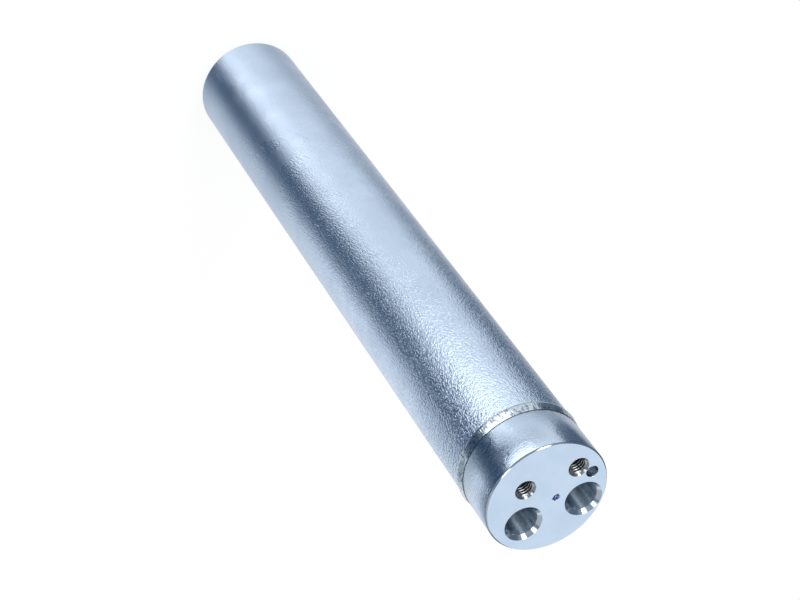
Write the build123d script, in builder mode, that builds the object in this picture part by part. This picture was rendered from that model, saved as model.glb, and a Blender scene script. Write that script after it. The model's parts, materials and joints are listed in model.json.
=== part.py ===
"""Receiver drier for a vehicle air-conditioning circuit.

An impact-extruded aluminium can, closed at its lower end, with a turned head welded into its mouth.
The head carries two O-ring ports, a tapped hole for the screw of each fitting block and a
locating-pin hole.  Inside, a spring clamps a bed of desiccant between two felt pads and two
perforated plates, and a pickup tube with a strainer draws the dried liquid from the closed end.

The part stands on its closed end.  Z runs up the axis to the head's face.  All sizes are millimetres.
"""
import os
from math import cos, hypot, pi, radians, sin, tan

from build123d import *

os.makedirs("parts", exist_ok=True)

# ---------------------------------------------------------------- driving dimensions
total_length = 268.0          # closed end to the head's face

# can
can_diameter = 40.0
can_wall = 1.5
can_floor = 3.0               # thickness of the closed end
can_corner = 2.5              # outer radius at the closed end
corner_steps = 4              # straight steps round that corner
can_inner_bevel = 1.5         # bevel inside the closed end
foot_width = 4.0              # flat ring that the can stands on
foot_recess = 0.6             # depth of the hollow inside that ring
foot_slope = 2.0              # width of the hollow's conical edge

# head
head_undersize = 0.1          # the head's side is turned this much inside the can's
flange_height = 18.4          # from the face to the joint with the can
face_chamfer = 0.45
spigot_length = 8.0           # the part of the head inside the can
spigot_fit = 0.05             # radial clearance of the spigot in the can

# ports, for O-ring fittings
port_diameter = 9.9
port_mouth_diameter = 12.4
port_depth = 14.0
passage_diameter = 6.2        # drilled on from each port to the inside
port_a_rim = 2.9              # metal between the mouth of the port and the head's side
port_a_angle = 36.4           # direction of the port from the axis
port_b_rim = 0.8
port_b_angle = 149.6

# tapped holes, one for each fitting block, at the tapping-drill size
screw_spacing = 13.0          # port centre to screw centre
screw_a_swing = -137.1        # turn from the port's direction to its screw's
screw_b_swing = 120.3
tap_drill_diameter = 5.0
screw_mouth_diameter = 6.8
screw_depth = 15.0            # full-diameter depth
drill_point_angle = 118.0

# locating-pin hole beside screw B
pin_hole_diameter = 4.0
pin_hole_depth = 6.0
pin_web = 0.12                # metal between its edge and the screw hole's mouth
pin_direction = 136.2

# weld
weld_root_depth = 0.8         # how far the weld metal reaches into the joint from the can's side
bead_half_width = 2.0
bead_crown = 0.5              # height over the can's side
bead_shoulder_width = 0.3     # the abrupt edge on the head side
bead_crown_width = 1.4

# pickup tube and strainer
tube_diameter = 8.0
tube_wall = 1.0
tube_press_depth = 9.0        # length held in the head
tube_bead_reach = 1.5         # how far the folded bead stands out
strainer_floor_gap = 2.0
strainer_wall = 1.2
strainer_neck_length = 7.0
strainer_window = 14.0        # height of the screened part
strainer_foot = 1.6
strainer_ribs = 4
rib_width = 1.6
screen_thickness = 0.3
screen_gap = 1.0              # from the tube's side to the screen

# desiccant stack
plate_thickness = 1.0
plate_fit = 0.2               # radial clearance of a plate in the can
plate_tube_fit = 0.15         # radial clearance round the tube
perforation_diameter = 3.4    # across the corners of the six-sided punch
perforation_pitch = 6.0
perforation_web = 1.0         # least metal between a perforation and an edge
pad_thickness = 6.0
bed_height = 70.0

# spring
spring_wire = 1.6
spring_length = 26.0          # as fitted
spring_coils = 5              # with the closed coil at each end
spring_fit = 0.5              # radial clearance in the can, which guides it
coil_steps = 16               # straight steps to a coil
wire_sides = 6

# ---------------------------------------------------------------- worked-out sizes
can_radius = can_diameter / 2
bore_radius = can_radius - can_wall
head_radius = can_radius - head_undersize
spigot_radius = bore_radius - spigot_fit
joint_z = total_length - flange_height
spigot_z = joint_z - spigot_length
foot_radius = can_radius - can_corner - foot_width
root_radius = can_radius - weld_root_depth

port_radius = port_diameter / 2
port_mouth_radius = port_mouth_diameter / 2
passage_radius = passage_diameter / 2
tap_drill_radius = tap_drill_diameter / 2
screw_mouth_radius = screw_mouth_diameter / 2
pin_hole_radius = pin_hole_diameter / 2

tube_radius = tube_diameter / 2
tube_inner_radius = tube_radius - tube_wall

upper_plate_z = spigot_z - spring_length               # the face that the spring stands on
upper_pad_z = upper_plate_z - plate_thickness - pad_thickness
bed_z = upper_pad_z - bed_height
lower_pad_z = bed_z - pad_thickness
lower_plate_z = lower_pad_z - plate_thickness          # its underside, on the tube's bead

plate_radius = bore_radius - plate_fit
spring_outer_radius = bore_radius - spring_fit

screen_radius = tube_radius + screen_gap
screen_outer_radius = screen_radius + screen_thickness
strainer_radius = screen_outer_radius + strainer_wall
strainer_z = can_floor + strainer_floor_gap
window_z = strainer_z + strainer_foot
collar_z = window_z + strainer_window
tube_end_z = collar_z + strainer_wall                  # the tube seats on the cage's collar


def polar(radius: float, angle: float) -> Vector:
    """A point in plan at a radius and at an angle in degrees."""
    return Vector(radius * cos(radians(angle)), radius * sin(radians(angle)))


port_a = polar(head_radius - port_a_rim - port_mouth_radius, port_a_angle)
port_b = polar(head_radius - port_b_rim - port_mouth_radius, port_b_angle)
screw_a = port_a + polar(screw_spacing, port_a_angle + screw_a_swing)
screw_b = port_b + polar(screw_spacing, port_b_angle + screw_b_swing)
pin_hole = screw_b + polar(screw_mouth_radius + pin_web + pin_hole_radius, pin_direction)

face_plane = Plane.XY.offset(total_length)
tube_axis = Axis((port_a.X, port_a.Y, 0), (0, 0, 1))
tube_side = Plane(origin=(port_a.X, port_a.Y, 0), x_dir=(1, 0, 0), z_dir=(0, -1, 0))


# ---------------------------------------------------------------- can
corner_turns = [pi / 2 * step / corner_steps for step in range(corner_steps + 1)]
rounded_corner = [
    (can_radius - can_corner * (1 - sin(turn)), can_corner * (1 - cos(turn)))
    for turn in corner_turns
]
with BuildPart() as can_shell:
    with BuildSketch(Plane.XZ):
        with BuildLine():
            Polyline(
                (0, foot_recess),
                (foot_radius - foot_slope, foot_recess),
                (foot_radius, 0),
                *rounded_corner,
                (can_radius, joint_z - bead_half_width),
                (root_radius, joint_z),
                (bore_radius, joint_z),
                (bore_radius, can_floor + can_inner_bevel),
                (bore_radius - can_inner_bevel, can_floor),
                (0, can_floor),
                (0, foot_recess),
            )
        make_face()
    revolve(axis=Axis.Z)
can_shell.part.label = "can_shell"

# ---------------------------------------------------------------- head
with BuildPart() as head_block:
    with BuildSketch(Plane.XZ):
        with BuildLine():
            Polyline(
                (0, spigot_z),
                (spigot_radius, spigot_z),
                (spigot_radius, joint_z),
                (root_radius, joint_z),
                (head_radius, joint_z + bead_half_width),
                (head_radius, total_length - face_chamfer),
                (head_radius - face_chamfer, total_length),
                (0, total_length),
                (0, spigot_z),
            )
        make_face()
    revolve(axis=Axis.Z)
    # both ports, their mouths and the passages drilled on to the inside
    with Locations(face_plane):
        with Locations(port_a, port_b):
            CounterSinkHole(port_radius, port_mouth_radius, depth=port_depth, counter_sink_angle=90)
            Hole(passage_radius, depth=total_length - spigot_z)
    # the seat that the pickup tube is pressed into, from the inside
    with BuildSketch(Plane.XY.offset(spigot_z)):
        with Locations(port_a):
            Circle(tube_radius)
    extrude(amount=tube_press_depth, mode=Mode.SUBTRACT)
    # tapped holes and the locating-pin hole
    with Locations(face_plane):
        with Locations(screw_a, screw_b):
            CounterSinkHole(
                tap_drill_radius, screw_mouth_radius, depth=screw_depth, counter_sink_angle=90
            )
        with Locations(pin_hole):
            Hole(pin_hole_radius, depth=pin_hole_depth)
    # the cones that the tapping drill leaves
    with Locations(face_plane.offset(-screw_depth)):
        with Locations(screw_a, screw_b):
            Cone(
                0,
                tap_drill_radius,
                tap_drill_radius / tan(radians(drill_point_angle / 2)),
                align=(Align.CENTER, Align.CENTER, Align.MAX),
                mode=Mode.SUBTRACT,
            )
head_block.part.label = "head_block"

# ---------------------------------------------------------------- weld
with BuildPart() as weld_bead:
    crown_top_z = joint_z + bead_half_width - bead_shoulder_width
    with BuildSketch(Plane.XZ):
        with BuildLine():
            Polyline(
                (can_radius, joint_z - bead_half_width),
                (root_radius, joint_z),
                (head_radius, joint_z + bead_half_width),
                (can_radius + bead_crown, crown_top_z),
                (can_radius + bead_crown, crown_top_z - bead_crown_width),
                (can_radius, joint_z - bead_half_width),
            )
        make_face()
    revolve(axis=Axis.Z)
weld_bead.part.label = "weld_bead"

# ---------------------------------------------------------------- pickup tube
with BuildPart() as pickup_tube:
    with BuildSketch(Plane.XY.offset(tube_end_z)):
        with Locations(port_a):
            Circle(tube_radius)
            Circle(tube_inner_radius, mode=Mode.SUBTRACT)
    extrude(amount=spigot_z + tube_press_depth - tube_end_z)
    # the folded bead, two walls high, that carries the stack
    with BuildSketch(Plane.XY.offset(lower_plate_z)):
        with Locations(port_a):
            Circle(tube_radius + tube_bead_reach)
            Circle(tube_radius, mode=Mode.SUBTRACT)
    extrude(amount=-2 * tube_wall)
pickup_tube.part.label = "pickup_tube"

# ---------------------------------------------------------------- strainer
with BuildPart() as strainer_cage:
    with BuildSketch(tube_side):
        with BuildLine():
            Polyline(
                (0, strainer_z),
                (strainer_radius, strainer_z),
                (strainer_radius, window_z),
                (0, window_z),
                (0, strainer_z),
            )
        make_face()
        with BuildLine():
            Polyline(
                (tube_inner_radius, collar_z),
                (strainer_radius, collar_z),
                (strainer_radius, tube_end_z + strainer_neck_length),
                (tube_radius, tube_end_z + strainer_neck_length),
                (tube_radius, tube_end_z),
                (tube_inner_radius, tube_end_z),
                (tube_inner_radius, collar_z),
            )
        make_face()
    revolve(axis=tube_axis)
    with BuildSketch(Plane.XY.offset(window_z)):
        with Locations(port_a):
            Circle(strainer_radius)
            Circle(screen_outer_radius, mode=Mode.SUBTRACT)
            with PolarLocations(0, strainer_ribs):
                Rectangle(
                    strainer_radius, rib_width, align=(Align.MIN, Align.CENTER), mode=Mode.INTERSECT
                )
    extrude(amount=strainer_window)
strainer_cage.part.label = "strainer_cage"

with BuildPart() as strainer_screen:
    with BuildSketch(Plane.XY.offset(window_z)):
        with Locations(port_a):
            Circle(screen_outer_radius)
            Circle(screen_radius, mode=Mode.SUBTRACT)
    extrude(amount=strainer_window)
strainer_screen.part.label = "strainer_screen"


# ---------------------------------------------------------------- desiccant stack
def clear_of_edges(point: Vector) -> bool:
    """Whether a perforation here leaves its web to the plate's edge and to the tube's hole."""
    reach = perforation_diameter / 2 + perforation_web
    from_tube = hypot(point.X - port_a.X, point.Y - port_a.Y)
    within_edge = point.length + reach <= plate_radius
    return within_edge and from_tube >= tube_radius + plate_tube_fit + reach


rows = int(can_diameter / perforation_pitch) + 2
hex_grid = [
    Vector(perforation_pitch * (column + row % 2 / 2), perforation_pitch * row * sin(pi / 3))
    for row in range(-rows, rows + 1)
    for column in range(-rows, rows + 1)
]
perforations = [point for point in hex_grid if clear_of_edges(point)]


def perforated_plate(low_z: float) -> BuildPart:
    """A punched plate with a hole for the pickup tube, its underside at low_z."""
    with BuildPart() as plate:
        with BuildSketch(Plane.XY.offset(low_z)):
            Circle(plate_radius)
            with Locations(port_a):
                Circle(tube_radius + plate_tube_fit, mode=Mode.SUBTRACT)
            with Locations(*perforations):
                RegularPolygon(perforation_diameter / 2, 6, mode=Mode.SUBTRACT)
        extrude(amount=plate_thickness)
    return plate


def pad_disc(low_z: float, height: float) -> BuildPart:
    """A disc that fills the can's bore and fits round the pickup tube."""
    with BuildPart() as disc:
        with BuildSketch(Plane.XY.offset(low_z)):
            Circle(bore_radius)
            with Locations(port_a):
                Circle(tube_radius, mode=Mode.SUBTRACT)
        extrude(amount=height)
    return disc


upper_plate = perforated_plate(upper_plate_z - plate_thickness)
upper_plate.part.label = "upper_plate"
upper_felt_pad = pad_disc(upper_pad_z, pad_thickness)
upper_felt_pad.part.label = "upper_felt_pad"
desiccant_bed = pad_disc(bed_z, bed_height)
desiccant_bed.part.label = "desiccant_bed"
lower_felt_pad = pad_disc(lower_pad_z, pad_thickness)
lower_felt_pad.part.label = "lower_felt_pad"
lower_plate = perforated_plate(lower_plate_z)
lower_plate.part.label = "lower_plate"


# ---------------------------------------------------------------- spring
def coil_height(turn: float) -> float:
    """Height of the wire's centre after some turns: one closed coil at each end, even pitch between."""
    low = upper_plate_z
    pitch = (spring_length - 2 * spring_wire) / (spring_coils - 2)
    if turn < 1:
        return low + spring_wire * turn
    if turn > spring_coils - 1:
        return low + spring_length - spring_wire * (spring_coils - turn)
    return low + spring_wire + pitch * (turn - 1)


coil_radius = spring_outer_radius - spring_wire / 2
coil_points = [
    Vector(
        coil_radius * cos(2 * pi * step / coil_steps),
        coil_radius * sin(2 * pi * step / coil_steps),
        coil_height(step / coil_steps),
    )
    for step in range(spring_coils * coil_steps + 1)
]
with BuildPart() as bed_spring:
    with BuildLine():
        wire_path = Polyline(*coil_points)
    with BuildSketch(Plane(origin=wire_path @ 0, z_dir=wire_path % 0)):
        RegularPolygon(spring_wire / 2, wire_sides)
    sweep(path=wire_path, transition=Transition.RIGHT)
    # both ends are ground flat
    split(bisect_by=Plane.XY.offset(upper_plate_z), keep=Keep.TOP)
    split(bisect_by=Plane.XY.offset(spigot_z), keep=Keep.BOTTOM)
bed_spring.part.label = "bed_spring"

# ---------------------------------------------------------------- STEP files
for piece in (
    can_shell,
    head_block,
    weld_bead,
    pickup_tube,
    strainer_cage,
    strainer_screen,
    upper_plate,
    upper_felt_pad,
    desiccant_bed,
    lower_felt_pad,
    lower_plate,
    bed_spring,
):
    export_step(piece.part, f"parts/{piece.part.label}.step")
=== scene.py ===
"""Looks of a receiver-type filter drier: a slim aluminium can with a turned head welded into its mouth.

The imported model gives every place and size. Each sub-assembly below is a class that reads its places
from that model, builds its meshes and dresses them. All lengths are metres unless a name says mm.
"""
import json
import logging
from collections.abc import Iterable, Sequence
from dataclasses import dataclass, field
from enum import Enum, IntEnum
from math import cos, pi, radians, sin, tan

import bmesh
import bpy
import numpy as np
from mathutils import Matrix, Vector


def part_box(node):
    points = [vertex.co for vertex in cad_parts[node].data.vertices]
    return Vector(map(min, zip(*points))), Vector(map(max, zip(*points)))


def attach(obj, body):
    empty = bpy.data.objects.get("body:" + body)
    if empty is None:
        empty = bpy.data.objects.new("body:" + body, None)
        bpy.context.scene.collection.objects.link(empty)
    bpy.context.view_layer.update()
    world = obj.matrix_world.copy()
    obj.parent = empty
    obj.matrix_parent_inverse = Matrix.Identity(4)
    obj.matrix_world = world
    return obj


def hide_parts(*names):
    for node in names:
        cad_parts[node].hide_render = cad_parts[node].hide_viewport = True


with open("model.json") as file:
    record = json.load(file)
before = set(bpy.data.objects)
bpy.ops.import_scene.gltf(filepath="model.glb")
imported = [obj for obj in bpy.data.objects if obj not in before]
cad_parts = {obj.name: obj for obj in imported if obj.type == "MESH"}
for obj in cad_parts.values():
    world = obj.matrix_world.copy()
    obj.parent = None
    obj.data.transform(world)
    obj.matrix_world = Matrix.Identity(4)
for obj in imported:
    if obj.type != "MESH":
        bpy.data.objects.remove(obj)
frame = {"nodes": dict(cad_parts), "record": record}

MM = 0.001
ROOT = "root"
WELD_DISTANCE = 2e-7          # mesh points closer than this are one
NOISE_MIDDLE = 0.5            # the value that a noise texture varies about
TURN = 360.0                  # degrees all the way round
LOG = logging.getLogger("filter_drier")

Colour = tuple[float, float, float]
Point = tuple[float, float]
Socket = bpy.types.NodeSocket


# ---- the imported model
def mount(name: str) -> dict:
    """Return the record's entry of a mount, with its place in metres and its sizes in millimetres."""
    return next(m for m in frame["record"]["mounts"] if m["name"] == name)


def mount_place(name: str) -> Vector:
    """Return the place of a mount in plan, in metres."""
    x, y, _ = mount(name)["pos_m"]
    return Vector((x, y))


def mount_radius(name: str) -> float:
    """Return the radius of a round mount in metres."""
    return mount(name)["dims"]["r_mm"] * MM


class Slot(Enum):
    """The record's material slots."""

    CAN = "can_aluminium"
    HEAD = "head_aluminium"
    WELD = "weld_aluminium"
    TUBE = "tube_aluminium"
    STRAINER = "strainer_plastic"
    SCREEN = "screen_mesh"
    PLATE = "plate_steel"
    SPRING = "spring_steel"
    FELT = "felt"
    DESICCANT = "desiccant"


# ---- meshes
class MeshSketch:
    """Gathers rings and flat plates into one closed mesh."""

    def __init__(self) -> None:
        """Start with no points."""
        self.points: list[np.ndarray] = []
        self.faces: list[tuple[int, ...]] = []
        self.zones: list[int] = []
        self.count = 0

    def _keep(self, points: np.ndarray) -> int:
        """Store points.

        Args:
            points: the points as (number, xyz).

        Returns:
            The number of the first one.
        """
        first = self.count
        self.points.append(points)
        self.count += len(points)
        return first

    def rings(self, rows: np.ndarray, zone: int = 0) -> None:
        """Join rings of points into a band of four-sided faces.

        Args:
            rows: points as (ring, place round the ring, xyz).
            zone: the material slot of the band.
        """
        n_rows, n_round, _ = rows.shape
        first = self._keep(rows.reshape(-1, 3))
        for row in range(n_rows - 1):
            low, high = first + row * n_round, first + (row + 1) * n_round
            for i in range(n_round):
                j = (i + 1) % n_round
                self.faces.append((low + i, low + j, high + j, high + i))
        self.zones += [zone] * (n_round * (n_rows - 1))

    def disc(self, ring: np.ndarray, zone: int = 0) -> None:
        """Close a ring with a fan about its centre.

        Args:
            ring: the points round it.
            zone: the material slot of the fan.
        """
        n_round = len(ring)
        first = self._keep(np.vstack([ring, ring.mean(axis=0)]))
        self.faces += [(first + i, first + (i + 1) % n_round, first + n_round) for i in range(n_round)]
        self.zones += [zone] * n_round

    def plate(self, outline: np.ndarray, holes: Sequence[np.ndarray], zone: int = 0) -> None:
        """Fill a flat outline around its holes.

        Args:
            outline: the outer ring.
            holes: the rings left open.
            zone: the material slot of the plate.
        """
        bm = bmesh.new()
        for ring in (outline, *holes):
            corners = [bm.verts.new(p) for p in ring]
            for a, b in zip(corners, corners[1:] + corners[:1]):
                bm.edges.new((a, b))
        bmesh.ops.triangle_fill(bm, use_beauty=True, edges=bm.edges[:], normal=(0, 0, 1))
        bm.verts.index_update()
        first = self._keep(np.array([v.co[:] for v in bm.verts]))
        self.faces += [tuple(first + v.index for v in f.verts) for f in bm.faces]
        self.zones += [zone] * len(bm.faces)
        bm.free()

    def build(self, name: str, sharp_angle: float = 32.0) -> bpy.types.Object:
        """Weld the rings together and make the object.

        Args:
            name: the piece's name.
            sharp_angle: edges that turn by more than this many degrees stay crisp.

        Returns:
            The new object, linked to the scene.
        """
        mesh = bpy.data.meshes.new(name)
        mesh.from_pydata(np.vstack(self.points).tolist(), [], self.faces)
        mesh.polygons.foreach_set("material_index", self.zones)
        bm = bmesh.new()
        bm.from_mesh(mesh)
        bmesh.ops.remove_doubles(bm, verts=bm.verts[:], dist=WELD_DISTANCE)
        bmesh.ops.recalc_face_normals(bm, faces=bm.faces[:])
        bm.to_mesh(mesh)
        bm.free()
        mesh.polygons.foreach_set("use_smooth", [True] * len(mesh.polygons))
        mesh.set_sharp_from_angle(angle=radians(sharp_angle))
        return put_in_scene(name, mesh)


def put_in_scene(name: str, data: bpy.types.ID) -> bpy.types.Object:
    """Make an object from a mesh, a lamp or a camera.

    Args:
        name: the object's name.
        data: what it shows.

    Returns:
        The object, linked to the scene.
    """
    made = bpy.data.objects.new(name, data)
    bpy.context.scene.collection.objects.link(made)
    return made


def ring_angles(count: int) -> np.ndarray:
    """Return evenly spaced angles round a circle."""
    return np.arange(count) * (2 * pi / count)


def circle(
    radius: float | np.ndarray, height: float, count: int, centre: Sequence[float] = (0.0, 0.0)
) -> np.ndarray:
    """Lay points round a level circle.

    Args:
        radius: one radius, or one for each point.
        height: its height.
        count: how many points it has.
        centre: its centre in plan.

    Returns:
        The points as (place round the circle, xyz).
    """
    turns = ring_angles(count)
    x, y = centre[0] + radius * np.cos(turns), centre[1] + radius * np.sin(turns)
    return np.column_stack([x, y, np.full(count, height)])


def lathe(profile: Iterable[Point], count: int, centre: Sequence[float] = (0.0, 0.0)) -> np.ndarray:
    """Turn a profile of (radius, height) into rings about a vertical axis."""
    return np.stack([circle(radius, height, count, centre) for radius, height in profile])


def fillet(corner: Point, radius: float, start: float, end: float, steps: int = 8) -> list[Point]:
    """Round a profile's corner, from one angle to another in degrees, about the round's centre."""
    turns = np.radians(np.linspace(start, end, steps + 1))
    return [(corner[0] + radius * cos(t), corner[1] + radius * sin(t)) for t in turns]


# ---- shader graphs
class Graph:
    """Adds nodes to a shader tree and joins them."""

    def __init__(self, tree: bpy.types.NodeTree) -> None:
        """Work on a node tree."""
        self.tree = tree

    def add(
        self, kind: str, *values: object, given: dict[str, object] | None = None, **settings: object
    ) -> bpy.types.Node:
        """Add a node.

        Args:
            kind: the node's type.
            values: what goes into its first inputs, in order.
            given: what goes into its other inputs, by name.
            settings: the node's own options.

        Returns:
            The node.
        """
        node = self.tree.nodes.new(kind)
        for name, value in settings.items():
            setattr(node, name, value)
        for socket, value in zip(node.inputs, values):
            self.feed(socket, value)
        for name, value in (given or {}).items():
            self.feed(node.inputs[name], value)
        return node

    def feed(self, socket: Socket, value: object) -> None:
        """Link a socket into another, or set a plain value on it.

        Args:
            socket: the input.
            value: an output to link, or a plain value.
        """
        if isinstance(value, bpy.types.NodeSocket):
            self.tree.links.new(value, socket)
        else:
            socket.default_value = value

    def math(self, operation: str, *values: object, clamp: bool = False) -> Socket:
        """Add a Math node and return its result."""
        return self.add("ShaderNodeMath", *values, operation=operation, use_clamp=clamp).outputs[0]

    def vector(self, operation: str, *values: object) -> Socket:
        """Add a Vector Math node and return its vector."""
        return self.add("ShaderNodeVectorMath", *values, operation=operation).outputs[0]

    def length(self, vector: object) -> Socket:
        """Return the length of a vector."""
        return self.add("ShaderNodeVectorMath", vector, operation="LENGTH").outputs[1]

    def noise(self, vector: object, scale: object, detail: float = 2.0, roughness: float = 0.5) -> Socket:
        """Add a Noise texture, with scale patches to a metre, and return its value."""
        given = {"Vector": vector, "Scale": scale, "Detail": detail, "Roughness": roughness}
        return self.add("ShaderNodeTexNoise", given=given).outputs[0]

    def ramp(
        self, value: object, low: object, high: object, to_low: object = 0.0, to_high: object = 1.0
    ) -> Socket:
        """Turn the span from low to high into the span from to_low to to_high with a smooth step."""
        span = (low, high, to_low, to_high)
        return self.add("ShaderNodeMapRange", value, *span, interpolation_type="SMOOTHSTEP").outputs[0]

    def blend(self, factor: object, a: object, b: object) -> Socket:
        """Mix two colours.

        Args:
            factor: the share of the second one.
            a: the first colour.
            b: the second colour.

        Returns:
            The mixed colour.
        """
        node = self.add("ShaderNodeMix", factor, data_type="RGBA")
        for socket, value in ((node.inputs[6], a), (node.inputs[7], b)):
            self.feed(socket, (*value, 1.0) if isinstance(value, tuple) else value)
        return node.outputs[2]

    def split(self, vector: object) -> tuple[Socket, ...]:
        """Return the x, y and z of a vector."""
        return tuple(self.add("ShaderNodeSeparateXYZ", vector).outputs)

    def slant(self, place: Socket, twist: Socket, stretch: Socket) -> Socket:
        """Turn a place round the upright axis as it rises, and squeeze its height.

        Args:
            place: the place in metres.
            twist: radians of turn to a metre of height.
            stretch: how much longer a texture then gets along its height.

        Returns:
            The new place.
        """
        given = {"Vector": place, "Angle": self.math("MULTIPLY", self.split(place)[2], twist)}
        turn = self.add("ShaderNodeVectorRotate", given=given, rotation_type="Z_AXIS")
        squeeze = self.add("ShaderNodeCombineXYZ", 1.0, 1.0, self.math("DIVIDE", 1.0, stretch))
        return self.vector("MULTIPLY", turn.outputs[0], squeeze.outputs[0])

    def group(self, group: bpy.types.NodeTree, **values: object) -> Socket:
        """Place a shared effect, with values for its named inputs, and return what it puts out."""
        return self.add("ShaderNodeGroup", given=values, node_tree=group).outputs[0]


class EffectGroup(Graph):
    """A shared effect: a node group with named inputs that puts out one value."""

    def __init__(self, name: str, **inputs: float | None) -> None:
        """Make the group and its sockets.

        Args:
            name: the group's name.
            inputs: each input's default: a number makes a value, None makes a vector.
        """
        super().__init__(bpy.data.node_groups.new(name, "ShaderNodeTree"))
        for label, default in inputs.items():
            kind = "NodeSocketVector" if default is None else "NodeSocketFloat"
            socket = self.tree.interface.new_socket(name=label, in_out="INPUT", socket_type=kind)
            if default is not None:
                socket.default_value = default
        self.tree.interface.new_socket(name="Value", in_out="OUTPUT", socket_type="NodeSocketFloat")
        self.given = self.add("NodeGroupInput").outputs

    def send_out(self, value: Socket) -> bpy.types.NodeTree:
        """Send a value out of the group and return the group."""
        self.add("NodeGroupOutput", value)
        return self.tree


class Effects:
    """The effects that several materials share."""

    def __init__(self) -> None:
        """Build every group once."""
        self.grain = self._grain()
        self.turning = self._turning()
        self.mottle = self._mottle()
        self.scratches = self._scratches()

    @staticmethod
    def _grain() -> bpy.types.NodeTree:
        """Short streaks that run at a slant round an upright axis.

        Returns:
            The node group.
        """
        g = EffectGroup("slanted_grain", Vector=None, Scale=1000.0, Stretch=4.0, Twist=0.0)
        slanted = g.slant(g.given["Vector"], g.given["Twist"], g.given["Stretch"])
        return g.send_out(g.noise(slanted, g.given["Scale"], roughness=0.6))

    @staticmethod
    def _turning() -> bpy.types.NodeTree:
        """Fine tool lines along a coordinate, of uneven depth.

        Returns:
            The node group.
        """
        g = EffectGroup("turning_lines", Vector=None, Along=0.0, Lines=3000.0, Faint=0.45)
        given = {"W": g.given["Along"], "Scale": g.given["Lines"], "Detail": 3.0}
        lines = g.add("ShaderNodeTexNoise", given=given, noise_dimensions="1D")
        patches = g.noise(g.given["Vector"], scale=220.0)
        depth = g.ramp(patches, low=0.3, high=0.7, to_low=g.given["Faint"])
        return g.send_out(g.math("MULTIPLY", lines.outputs[0], depth))

    @staticmethod
    def _mottle() -> bpy.types.NodeTree:
        """Soft uneven patches.

        Returns:
            The node group.
        """
        g = EffectGroup("mottle", Vector=None, Scale=60.0, Low=0.35, High=0.65)
        patches = g.noise(g.given["Vector"], g.given["Scale"], detail=4.0, roughness=0.55)
        return g.send_out(g.ramp(patches, g.given["Low"], g.given["High"]))

    @staticmethod
    def _scratches() -> bpy.types.NodeTree:
        """Sparse thin handling scratches at a slant.

        Returns:
            The node group.
        """
        lines = {"Scale": 260.0, "Stretch": 14.0, "Twist": 20.0, "Width": 0.012}
        patches = {"Patches": 130.0, "Rarity": 0.56, "Fade": 0.04}
        g = EffectGroup("handling_scratches", Vector=None, **lines, **patches)
        place, rarity = g.given["Vector"], g.given["Rarity"]
        slanted = g.slant(place, g.given["Twist"], g.given["Stretch"])
        off_line = g.math("SUBTRACT", g.noise(slanted, g.given["Scale"], detail=1.0), NOISE_MIDDLE)
        line = g.ramp(g.math("ABSOLUTE", off_line), 0.0, g.given["Width"], 1.0, 0.0)
        rare = g.ramp(g.noise(place, g.given["Patches"]), rarity, g.math("ADD", rarity, g.given["Fade"]))
        return g.send_out(g.math("MULTIPLY", line, rare))


# ---- finishes
class Surface(Graph):
    """One material: its shader, the place on the object in metres and the effects at hand."""

    def __init__(self, name: str, effects: Effects) -> None:
        """Make the material.

        Args:
            name: its name.
            effects: the shared effects.
        """
        self.material = bpy.data.materials.new(name)
        self.material.use_nodes = True
        super().__init__(self.material.node_tree)
        self.shader = self.tree.nodes["Principled BSDF"]
        self.effects = effects
        self.place = self.add("ShaderNodeTexCoord").outputs["Object"]
        self.x, self.y, self.z = self.split(self.place)

    def give(self, name: str, value: object) -> None:
        """Feed one of the shader's own sockets."""
        self.feed(self.shader.inputs[name], value)

    def roughen(self, mask: Socket, low: float, high: float) -> None:
        """Let the roughness follow a mask of 0 to 1."""
        self.give("Roughness", self.ramp(mask, 0.0, 1.0, low, high))

    def mottle(self, scale: float) -> Socket:
        """Return the mask of soft patches."""
        return self.group(self.effects.mottle, Vector=self.place, Scale=scale)

    def grain(self, scale: float, stretch: float, twist: float = 0.0) -> Socket:
        """Return the height of slanted streaks."""
        return self.group(self.effects.grain, Vector=self.place, Scale=scale, Stretch=stretch, Twist=twist)

    def tool_lines(self, along: Socket, lines: float) -> Socket:
        """Return the height of tool lines."""
        return self.group(self.effects.turning, Vector=self.place, Along=along, Lines=lines)

    def in_plan(self) -> Socket:
        """Return the place with its height left out."""
        return self.add("ShaderNodeCombineXYZ", self.x, self.y).outputs[0]

    def bump(self, height: Socket, depth: float) -> None:
        """Raise the surface by a height of 0 to 1, where 1 stands for a depth in metres."""
        node = self.add("ShaderNodeBump", given={"Strength": 1.0, "Distance": depth, "Height": height})
        self.give("Normal", node.outputs[0])


@dataclass(frozen=True)
class Finish:
    """What all finishes share: a name, and a material made on request."""

    name: str

    def paint(self, s: Surface) -> None:
        """Lay the finish on a surface; each finish has its own way."""
        raise NotImplementedError

    def make(self, effects: Effects) -> bpy.types.Material:
        """Build the material.

        Args:
            effects: the shared effects.

        Returns:
            The new material.
        """
        surface = Surface(self.name, effects)
        self.paint(surface)
        return surface.material


class Lay(Enum):
    """The way that tool lines run on a turned surface."""

    ROUND_AXIS = "rings one above another"
    ROUND_FACE = "rings inside one another"


@dataclass(frozen=True)
class PatchyMetal(Finish):
    """Bare metal whose colour and gloss vary in soft patches; dull_colour is the patches'."""

    colour: Colour
    dull_colour: Colour
    roughness: float
    dull_roughness: float
    patch_scale: float = 90.0

    def paint(self, s: Surface) -> None:
        """Paint the metal.

        Args:
            s: the surface.
        """
        mask = s.mottle(self.patch_scale)
        s.give("Base Color", s.blend(mask, self.colour, self.dull_colour))
        s.roughen(mask, self.roughness, self.dull_roughness)
        s.give("Metallic", 1.0)


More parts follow.
